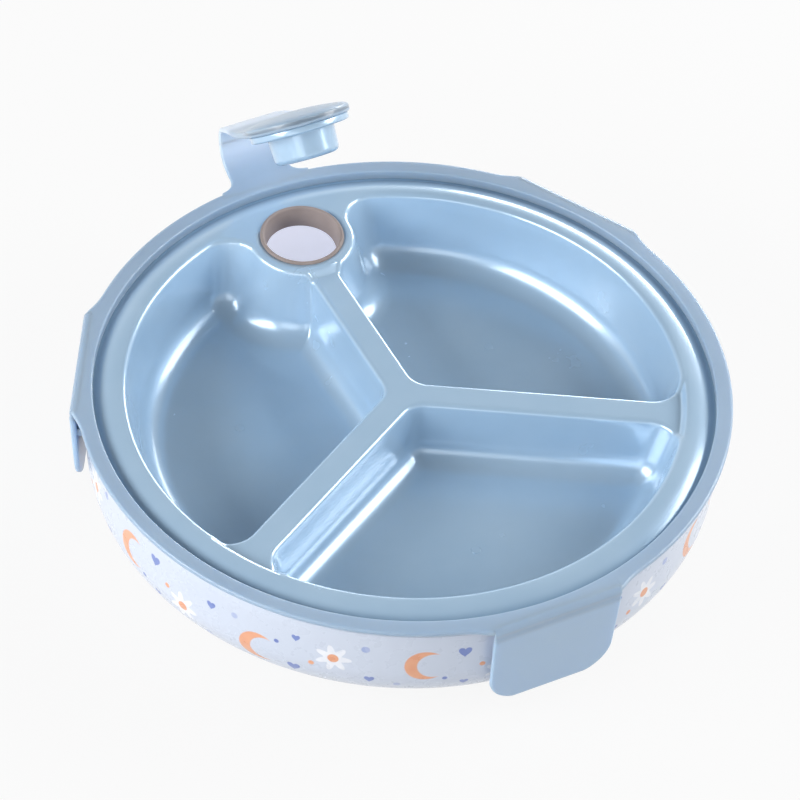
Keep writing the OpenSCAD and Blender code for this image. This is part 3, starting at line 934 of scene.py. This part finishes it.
def rim_profile():
    """From the land down a hollow that steepens into the gutter, and under the ring to the tongue."""
    profile = [(SLOPE_R + (GUTTER_R - SLOPE_R) * p, RIM_Z + (GUTTER_Z - RIM_Z) * p ** HOLLOW_POWER)
               for p in np.linspace(0, 1, HOLLOW_STEPS + 1)]
    profile += [(RING_IN + RING_TUCK, GUTTER_Z), (RING_IN + TONGUE_START, TONGUE_Z)]
    return profile + [(TONGUE_R - TONGUE_EDGE, TONGUE_Z), (TONGUE_R, TONGUE_Z - TONGUE_EDGE)]


def tray_skin():
    parts = [(verts, faces, []) for verts, faces, _ in wells]
    parts.append(land())
    parts.append(lathe(rim_profile(), RIM_STEPS, closed=False))
    return piece("tray", parts, [PEARL])


# %% Tray
tray = tray_skin()
up_faces = sum(p.normal.z * p.area for p in tray.data.polygons)
if up_faces < 0:
    tray.data.flip_normals()
shell = tray.modifiers.new("shell", "SOLIDIFY")
shell.thickness = TRAY_T * MM
shell.offset = -1
applied(tray)
finished(tray, "plate", "tray_plastic", "food_tray")
finished(piece("tray_skirt", [lathe(SKIRT, TURN_STEPS)], [PEARL]), "plate", "tray_plastic")

# %% [markdown]
# Where the plastic ran into the mould, each well floor keeps a small round mark. One is drawn, and the
# tree that made the catch bars turns it into three.

# %% Gate marks
GATE_OUT = 50.0
GATE_R = 1.5
GATE_EDGE = 0.1
GATE_TOP = FLOOR_Z + 0.12
GATE_LOW = FLOOR_Z - 0.3
GATE_STEPS = 32
gate = [(0, GATE_TOP)] + arc((GATE_R - GATE_EDGE, GATE_TOP - GATE_EDGE), GATE_EDGE, 90, 0, 3)
gate += [(GATE_R, GATE_LOW), (0, GATE_LOW)]
gate_place = Matrix.Translation((GATE_OUT * MM, 0, 0))
gate_pattern = piece("gate_pattern", [lathe(gate, GATE_STEPS)], [PEARL], gate_place)
gates = turned_copies("gate_marks", gate_pattern, len(wells), FLAP_SIDES["front"], PEARL)
bpy.data.objects.remove(gate_pattern)
finished(gates, "plate", "tray_plastic")

# %% [markdown]
# ## Grommet and plug
# The grommet is a soft sleeve with a rounded lip. The plug is the hard stopper under the cap, with a
# flange that presses on the grommet's lip. The plug is drawn where it would sit with the hole shut, and
# then carried to its open place by the same two turns that the joints make.

# %% Sizes of the grommet and the plug
GROMMET_OUT = 13.2
GROMMET_TOP = 40.1
GROMMET_LOW = 32.8
GROMMET_LIP = 0.75
SLEEVE_WALL = 1.5
SLEEVE_EDGE = 0.3
SLEEVE_FOOT = GROMMET_LOW + 0.4
SLEEVE_GAP = 0.2
BORE_TOP = 11.9
BORE_LOW = 11.0
PLUG_TOP = 40.5
CAP_LOW = 42.7
FLANGE_R = 15.7
FLANGE_EDGE = 0.4
FLANGE_ROUND = 0.7
PLUG_R = 10.6
PLUG_END_R = 10.3
PLUG_LOW = PLUG_TOP - 8.6
PLUG_HOLLOW = 0.6
PLUG_ROUND = 1.8
SMALL_STEPS = 144
LIFT = 43.0
TILT = 43.0
strap_at = Vector(joints["strap_hinge"]["pos_m"])
fold_open = Vector(joints["cap_fold"]["pos_m"])
fold_shut = strap_at + Matrix.Rotation(math.radians(-LIFT), 3, "X") @ (fold_open - strap_at)


def turned_about(point, degrees):
    """A turn about the X direction through a point."""
    return (Matrix.Translation(point) @ Matrix.Rotation(math.radians(degrees), 4, "X")
            @ Matrix.Translation(-point))


OPENED = turned_about(strap_at, LIFT) @ turned_about(fold_shut, -LIFT - TILT)
AT_FILLER = Matrix.Translation((0, FILLER_Y * MM, 0))
print("fold of the shut stopper in mm:", [round(v / MM, 1) for v in fold_shut])

# %% Grommet and plug
sleeve = arc((GROMMET_OUT - GROMMET_LIP, GROMMET_TOP - GROMMET_LIP), GROMMET_LIP, -60, 90, 8)
sleeve += arc((BORE_TOP + GROMMET_LIP, GROMMET_TOP - GROMMET_LIP), GROMMET_LIP, 90, 180, 8)
sleeve += [(BORE_LOW, SLEEVE_FOOT), (BORE_LOW + SLEEVE_EDGE, GROMMET_LOW)]
sleeve += [(BORE_LOW + SLEEVE_WALL - SLEEVE_EDGE, GROMMET_LOW), (BORE_LOW + SLEEVE_WALL, SLEEVE_FOOT)]
sleeve += [(HOLE_R - SLEEVE_GAP, RIM_Z - SLEEVE_GAP)]
grommet = piece("grommet", [lathe(sleeve, SMALL_STEPS)], [RUBBER], AT_FILLER)
finished(grommet, "plate", "grommet_rubber", "filler_grommet")

stopper = [(0, CAP_LOW)] + arc((FLANGE_R - FLANGE_EDGE, CAP_LOW - FLANGE_EDGE), FLANGE_EDGE, 90, 0, 4)
stopper += arc((FLANGE_R - FLANGE_ROUND, PLUG_TOP + FLANGE_ROUND), FLANGE_ROUND, 0, -90, 6)
stopper += arc((PLUG_R + PLUG_HOLLOW, PLUG_TOP - PLUG_HOLLOW), PLUG_HOLLOW, 90, 180, 5)
stopper += arc((PLUG_END_R - PLUG_ROUND, PLUG_LOW + PLUG_ROUND), PLUG_ROUND, 0, -90, 8) + [(0, PLUG_LOW)]
plug = piece("plug", [lathe(stopper, SMALL_STEPS)], [PEARL], OPENED @ AT_FILLER)
finished(plug, "cap", "plug_plastic", "stopper_plug")

# %% [markdown]
# ## The clip ring
# The ring is a flat band with rounded edges. It widens into a straight lip wherever a clip or the strap
# hangs on it, and a hollow curve leads back to the circle. In the middle of each lip is a notch where
# the bending strip of the clip begins, so the band is drawn from columns, each with an inner and an
# outer end.

# %% Lips of the ring
FLAP_AXIS = 99.8
FLAP_W = 42.0
STRAP_W = 20.0
FLAP_EAR = 0.4
STRAP_LIP = 98.8
STRAP_FLARE = 5.0
ROOT_BACK = 1.8
FLAP_HOLLOW = 30.0
STRAP_HOLLOW = 5.0
LIP_SPAN = 60


def lip_reach(side, axis, half, hollow):
    """The outer radius of a lip at an angle from its middle, or 0 beyond its hollow curve."""
    side = abs(side)
    if side > LIP_SPAN:
        return 0.0
    corner = math.degrees(math.atan2(half, axis))
    corner_r = math.hypot(half, axis)
    reach = RING_R + hollow
    cosine = (reach ** 2 + corner_r ** 2 - hollow ** 2) / (2 * reach * corner_r)
    centre = corner + math.degrees(math.acos(min(cosine, 1.0)))
    if side <= corner:
        return axis / math.cos(math.radians(side))
    if side >= centre:
        return 0.0
    swing = math.radians(centre - side)
    return reach * math.cos(swing) - math.sqrt(max(hollow ** 2 - (reach * math.sin(swing)) ** 2, 0))


LIPS = [(side, FLAP_AXIS, FLAP_W / 2, FLAP_EAR, FLAP_HOLLOW) for side in FLAP_SIDES.values()]
LIPS.append((STRAP_SIDE, STRAP_LIP, STRAP_W / 2 + STRAP_FLARE, 0.0, STRAP_HOLLOW))
print("lips on the ring:", len(LIPS))

# %% Clip ring
COLUMN_STEP = 0.75
COLUMN_GAP = 0.1
BAND_EDGE = 0.85
INNER_EDGE = 0.6
NOTCH_EDGE = 0.02
NOTCH_TURN = 0.002
NOTCH_STEPS = 24
HEM_W = 0.8
HEM_SLOPE = 0.1
HEM_LOW = GUTTER_Z - 0.1


def band_columns():
    """(angle, inner end, outer end, edge round) all round the ring."""
    columns = []
    for angle in np.arange(0, 360, COLUMN_STEP):
        outer = RING_R
        clear = True
        for side, axis, half, ear, hollow in LIPS:
            off = (angle - side + 180) % 360 - 180
            outer = max(outer, lip_reach(off, axis, half + ear, hollow))
            clear &= abs(off) > math.degrees(math.atan2(half, RING_IN)) + COLUMN_GAP
        if clear:
            columns.append((angle, polar(RING_IN, angle), polar(outer, angle), BAND_EDGE))
    for side, axis, half, _, _ in LIPS:
        across = polar(1, side + 90)
        along = polar(1, side)
        for part in np.linspace(-1, 1, NOTCH_STEPS + 1):
            inner = along * math.sqrt(RING_IN ** 2 - (half * part) ** 2) + across * half * part
            end = along * axis + across * half * part
            angle = side + math.degrees(math.atan2(half * part, RING_IN))
            columns.append((angle, inner, end - along * ROOT_BACK, NOTCH_EDGE))
            if abs(part) == 1:
                columns.append((angle + part * NOTCH_TURN, inner, end, BAND_EDGE))
    return sorted(columns, key=lambda column: column[0] % 360)


def band():
    verts = []
    columns = band_columns()
    for _, inner, outer, edge in columns:
        length = np.hypot(*(outer - inner))
        along = (outer - inner) / length
        low = PLATE_TOP - RING_T
        section = [(HEM_W + HEM_SLOPE, low), (HEM_W, HEM_LOW), (0, HEM_LOW)]
        section += arc((INNER_EDGE, PLATE_TOP - INNER_EDGE), INNER_EDGE, 180, 90, 5)
        section += arc((length - edge, PLATE_TOP - edge), edge, 90, 0, 6)
        section += arc((length - edge, low + edge), edge, 0, -90, 6)
        verts += [tuple(inner + along * run) + (z,) for run, z in section]
    return verts, quads(len(columns), len(section), loop=True), []


finished(piece("ring", [band()], [MILKY]), "plate", "clip_plastic", "clip_ring")

# %% [markdown]
# ## Strips
# Clips, strap and cap are all strips: a rounded rectangle carried along a path, with its own width and
# thickness at each step. The path lies in an upright plane, so a step needs a place (out, up), the side
# that the front faces, half the width, the thickness and the rounding of the edges.

# %% Strip maker
ACROSS_STEPS = 16
EDGE_STEPS = 5
STRIP_EDGE = 0.65
LEAST = 0.02
SLACK = 0.001


def rounded_section(half, thickness, edge):
    """A rounded rectangle round the origin: (across, towards the front)."""
    half = max(half, LEAST)
    edge = min(edge, thickness / 2 - SLACK, half - SLACK)
    wide = half - edge
    deep = thickness / 2 - edge
    points = [(x, thickness / 2) for x in np.linspace(-wide, wide, ACROSS_STEPS + 1)]
    points += arc((wide, deep), edge, 90, 0, EDGE_STEPS)[1:]
    points += arc((wide, -deep), edge, 0, -90, EDGE_STEPS)
    points += [(x, -thickness / 2) for x in np.linspace(wide, -wide, ACROSS_STEPS + 1)[1:]]
    points += arc((-wide, -deep), edge, 270, 180, EDGE_STEPS)[1:]
    points += arc((-wide, deep), edge, 180, 90, EDGE_STEPS)[:-1]
    return points


def strip(rows):
    """A loft through rows of (out, up, facing in degrees, half width, thickness, edge)."""
    verts = []
    for out, high, facing, half, thickness, edge in rows:
        ahead = (math.cos(math.radians(facing)), math.sin(math.radians(facing)))
        for across, front in rounded_section(half, thickness, edge):
            verts.append((across, out + ahead[0] * front, high + ahead[1] * front))
    return verts, capped(len(rows), len(verts) // len(rows)), []


def end_thickness(thickness, edge, left):
    """The thickness of a strip near its rounded end, where a length is left."""
    near = max(edge - left, 0)
    return thickness - 2 * edge + 2 * math.sqrt(max(edge ** 2 - near ** 2, 0))


# %% Shape of a clip
FLAP_H = 33.5
FLAP_T = 1.6
FILM_T = 1.0
FLAP_LEAN = 3.8
FLAP_CORNER = 10.5
FLAP_TAPER = 1.0
BEND_R = 1.0
BEND_LEAD = 0.2
BEND_EDGES = (0.1, 0.5)
FILM_END = 1.8
FULL_FROM = 3.2
FILM_ROWS = (1.6, 3.6, 8)
FLAT_FROM = 5.0
THIN_END = 0.2
HOOK_LOW = 25.9
HOOK_HIGH = 28.6
HOOK_R = 97.4
HOOK_EDGE = 0.4
HOOK_SLOPE = 0.3
HOOK_SUNK = 0.3
HOOK_STEPS = 18


def flap_rows():
    """From the notch in the ring over the film hinge and down to the rounded lower edge."""
    half = FLAP_W / 2
    root = FLAP_AXIS - ROOT_BACK
    bend = FLAP_AXIS - BEND_R
    rows = [(root, RING_MID, 90, half, RING_T, NOTCH_EDGE),
            (bend - BEND_LEAD, RING_MID, 90, half, RING_T, BEND_EDGES[0])]
    for tilt in np.linspace(90, -FLAP_LEAN, 11)[1:]:
        part = (90 - tilt) / (90 + FLAP_LEAN)
        run, rise = polar(BEND_R, tilt)
        rows.append((bend + run, RING_MID - BEND_R + rise, tilt, half, RING_T + (FILM_T - RING_T) * part,
                     BEND_EDGES[0] + (BEND_EDGES[1] - BEND_EDGES[0]) * part))
    lean = math.radians(FLAP_LEAN)
    corner_at = FLAP_H - FLAP_CORNER
    steps = list(np.linspace(*FILM_ROWS)) + list(np.linspace(FLAT_FROM, corner_at, 9))
    steps += [FLAP_H - FLAP_CORNER * (1 - math.sin(a)) for a in np.linspace(0, math.pi / 2, 22)[1:]]
    for down in steps:
        into = max(down - corner_at, 0)
        width = half - FLAP_TAPER * down / FLAP_H - FLAP_CORNER
        width += math.sqrt(max(FLAP_CORNER ** 2 - into ** 2, 0))
        thick = end_thickness(FLAP_T, STRIP_EDGE, FLAP_H - down)
        thick -= (FLAP_T - FILM_T) * (1 - smooth(down, FILM_END, FULL_FROM))
        rows.append((FLAP_AXIS - down * math.sin(lean), RING_MID - down * math.cos(lean), -FLAP_LEAN, width,
                     max(thick, THIN_END), STRIP_EDGE))
    return rows


def hook():
    """The rib behind a clip that snaps under the catch bar."""
    wall = FLAP_AXIS - (RING_MID - HOOK_LOW) * math.tan(math.radians(FLAP_LEAN)) - HOOK_SUNK
    verts = []
    for side in np.linspace(-CATCH_W / 2, CATCH_W / 2, HOOK_STEPS + 1):
        face_r = math.sqrt(HOOK_R ** 2 - side ** 2)
        section = [(wall, HOOK_LOW), (face_r + HOOK_SLOPE, HOOK_LOW), (face_r, HOOK_LOW + HOOK_EDGE),
                   (face_r, HOOK_HIGH - HOOK_EDGE), (face_r + HOOK_SLOPE, HOOK_HIGH), (wall, HOOK_HIGH)]
        verts += [(side, out, z) for out, z in section]
    return verts, capped(HOOK_STEPS + 1, len(section)), []


# %% Three clips
BLEND_FROM = 98.4
BLEND_TO = 99.9
BLEND_DROP = 2.0
flap_pattern = piece("flap_pattern", [strip(flap_rows()), hook()], [MILKY])
for name, side in FLAP_SIDES.items():
    clip = turned_copies(name + "_clip", flap_pattern, 1, side - 90, MILKY)
    out = direction(math.radians(side), 0)
    start = out * BLEND_FROM * MM + Vector((0, 0, RING_MID * MM))
    end = out * BLEND_TO * MM + Vector((0, 0, (RING_MID - BLEND_DROP) * MM))
    bending(clip, "plate", name + "_flap", start, end, "clip_flap_" + name)
bpy.data.objects.remove(flap_pattern)

# %% [markdown]
# ## Strap and cap
# The strap leaves the ring and rises to the fold; there the same strip rolls over and becomes the arm
# of the cap. Both bends are soft in the real thing, so the strip is drawn with a round at each bend
# instead of a break.

# %% Strap
STRAP_T = 1.6
STRAP_STEPS = 60
STRAP_CROWD = 1.3
STRAP_THIN_BY = 0.16
FLARE_LEAD = 0.6
HANDLE_OUT = 107.5
HANDLE_UP = 42.6
FOLD_RISE = 3.35
SEAM_UP = 48.4
ROOT_LEAD = 1.0
ROOT_BEND = Vector((0, 3.0 * MM, 0.6 * MM))
strap_out = strap_at.y / MM
fold_out = fold_open.y / MM
fold_up = fold_open.z / MM
STRAP_PATH = np.array([(STRAP_LIP - ROOT_BACK, RING_MID), (HANDLE_OUT, RING_MID),
                       (fold_out + FOLD_RISE, HANDLE_UP), (fold_out + FOLD_RISE, fold_up)])


def strap_row(part):
    """A row of the strap's path, which leaves the ring level and ends upright beside the fold."""
    rest = 1 - part
    weights = np.array((rest ** 3, 3 * rest ** 2 * part, 3 * rest * part ** 2, part ** 3))
    slopes = np.array((-rest ** 2, rest ** 2 - 2 * rest * part, 2 * rest * part - part ** 2, part ** 2))
    at = weights @ STRAP_PATH
    run = slopes @ STRAP_PATH
    new = min(part / STRAP_THIN_BY, 1.0)
    left = STRAP_FLARE - min(max(at[0] - RING_R + FLARE_LEAD, 0), STRAP_FLARE)
    half = STRAP_W / 2 + STRAP_FLARE - math.sqrt(STRAP_FLARE ** 2 - left ** 2)
    thick = RING_T + (STRAP_T - RING_T) * new
    edge = NOTCH_EDGE + (STRIP_EDGE - NOTCH_EDGE) * new
    return at[0], at[1], angle_of(run) + 90, half, thick, edge


path_rows = [strap_row(part) for part in np.linspace(0, 1, STRAP_STEPS + 1) ** STRAP_CROWD]
strap_rows = [row for row in path_rows if row[1] <= SEAM_UP]
strap = piece("strap", [strip(strap_rows)], [MILKY])
root = Vector((0, (strap_out - ROOT_LEAD) * MM, RING_MID * MM))
bending(strap, "plate", "strap", root, root + ROOT_BEND, "stopper_strap")

# %% Rows of the cap
CAP_R = 16.5
CAP_T = 2.0
CAP_EDGE = 0.8
CAP_MID = CAP_LOW + CAP_T / 2
ARM_RISE = 2.0
ARM_SPREAD = 0.1535
ARM_EASE = 1.7
cap_rows = path_rows[len(strap_rows) - 1:]
for swing in np.linspace(0, 90 - TILT, 9)[1:]:
    run, rise = polar(FOLD_RISE, swing)
    cap_rows.append((fold_out + run, fold_up + rise, swing + 180, STRAP_W / 2, STRAP_T, STRIP_EDGE))


def cap_row(out, high, half, thickness, edge):
    """A row of the flat cap, given for the shut stopper and carried to the open one."""
    at = OPENED @ Vector((0, out * MM, high * MM))
    return at.y / MM, at.z / MM, -90 - TILT, half, thickness, edge


arm_long = fold_shut.y / MM - FILLER_Y
meets = math.atan2(1, ARM_SPREAD)
arm_end = CAP_R * math.cos(meets)
for part in np.linspace(0, 1, 16)[1:]:
    ease = smooth(part * ARM_EASE, 0, 1)
    out = arm_long + (arm_end - arm_long) * part
    half = STRAP_W / 2 + (arm_long - out) * ARM_SPREAD
    cap_rows.append(cap_row(FILLER_Y + out, CAP_MID + ARM_RISE * (1 - ease), half,
                            STRAP_T + (CAP_T - STRAP_T) * ease, STRIP_EDGE + (CAP_EDGE - STRIP_EDGE) * ease))
for swing in np.linspace(meets, math.pi, 36)[1:]:
    out = CAP_R * math.cos(swing)
    thick = end_thickness(CAP_T, CAP_EDGE, out + CAP_R)
    cap_rows.append(cap_row(FILLER_Y + out, CAP_MID, CAP_R * math.sin(swing), thick, CAP_EDGE))
print("rows of the cap:", len(cap_rows))

# %% Cap
CAP_STEP = 0.7
CAP_DOME = 1.7
DISC_EDGE = 0.9
DISC_LEAD = 0.3
DISC_STEPS = 120
FOLD_FROM = 49.2
FOLD_TO = 54.7


def cap_disc():
    """The raised round of the cap, a little domed, carried to the open place like the plug."""
    top = CAP_MID + CAP_T / 2 + CAP_STEP
    flat_r = CAP_R - DISC_EDGE
    profile = [(r, top + CAP_DOME * (1 - (r / CAP_R) ** 2)) for r in np.linspace(0, flat_r - DISC_LEAD, 9)]
    profile += arc((flat_r, top - DISC_EDGE), DISC_EDGE, 80, 0, 6) + [(CAP_R, CAP_MID), (0, CAP_MID)]
    verts, faces, slots = lathe(profile, DISC_STEPS)
    return [tuple((OPENED @ AT_FILLER @ (Vector(v) * MM)) / MM) for v in verts], faces, slots


cap = piece("cap", [strip(cap_rows), cap_disc()], [MILKY])
fold_ends = [Vector((0, fold_out * MM, up_mm * MM)) for up_mm in (FOLD_FROM, FOLD_TO)]
bending(cap, "strap", "cap", *fold_ends, "stopper_cap")

# %% [markdown]
# ## Light
# Two wide lamps stand low on the left and the right, so that they reach the walls of the wells more
# than their floors. A weaker one lights the bowl from the front, and one behind draws bright lines on
# the far edges. The room is brighter at the horizon than overhead. The camera sees the white table
# nearly plain, with only a soft shadow under the plate.

# %% Lamps
LAMPS = {
    "left": (-62, 27, 1.0, 0.8, 0.4, 8.5),
    "right": (106, 29, 1.0, 0.7, 0.4, 7.0),
    "front": (-12, 20, 1.1, 0.5, 0.4, 1.0),
    "behind": (160, 12, 1.0, 0.6, 0.23, 4.3),
}
for name, (side, rise, away, width, tall, power) in LAMPS.items():
    lamp = new_object(name + "_lamp", bpy.data.lights.new(name + "_lamp", "AREA"))
    lamp.data.shape = "RECTANGLE"
    lamp.data.size = width
    lamp.data.size_y = tall
    lamp.data.energy = power
    aim = direction(CAMERA_SIDE + math.radians(side), math.radians(rise))
    lamp.location = LOOK_AT + aim * away
    lamp.rotation_euler = aim.to_track_quat("Z", "Y").to_euler()
print("lamps:", list(LAMPS))

# %% Room
HORIZON_LIGHT = 0.95
ZENITH_LIGHT = 0.2
FADE_FROM = 0.2
FADE_TO = 0.72
world = bpy.data.worlds.new("white_room")
bpy.context.scene.world = world
world.use_nodes = True
room = world.node_tree
look = add_node(room, "ShaderNodeTexCoord").outputs["Generated"]
upward = add_node(room, "ShaderNodeSeparateXYZ", {}, {0: look}).outputs["Z"]
fade = add_node(room, "ShaderNodeMapRange", {"interpolation_type": "SMOOTHSTEP"},
                {"Value": upward, "From Min": FADE_FROM, "From Max": FADE_TO,
                 "To Min": HORIZON_LIGHT, "To Max": ZENITH_LIGHT})
sky = room.nodes["Background"]
feed(room, sky.inputs["Color"], (1, 1, 1, 1))
feed(room, sky.inputs["Strength"], fade.outputs["Result"])
print("light at the horizon and overhead:", HORIZON_LIGHT, ZENITH_LIGHT)

# %% Table
TABLE_HALF = 6.0
TABLE_Z = -0.0003
TABLE_GREY = (0.55, 0.55, 0.55, 1)
TABLE_SHOWN = 0.9
table_mesh = bpy.data.meshes.new("table")
corners = [(x * TABLE_HALF, y * TABLE_HALF, TABLE_Z) for x, y in ((-1, -1), (1, -1), (1, 1), (-1, 1))]
table_mesh.from_pydata(corners, [], [(0, 1, 2, 3)])
table = new_object("table", table_mesh)
white = Finish("white_table", Base_Color=TABLE_GREY, Roughness=0.7)
rays = white.add("ShaderNodeLightPath")
glow = white.add("ShaderNodeEmission", {}, {"Color": (1, 1, 1, 1), "Strength": 1.0})
seen, mirrored, through = [Value(white, rays.outputs[f"Is {kind} Ray"])
                           for kind in ("Camera", "Glossy", "Transmission")]
shown = seen.larger(mirrored).larger(through) * TABLE_SHOWN
mixed = white.add("ShaderNodeMixShader", {}, {0: shown, 1: white.shader.outputs[0], 2: glow.outputs[0]})
feed(white.tree, white.output.inputs["Surface"], mixed.outputs[0])
table_mesh.materials.append(white.material)

bpy.context.scene.view_settings.view_transform = "Standard"
print("table:", TABLE_HALF * 2, "m wide")
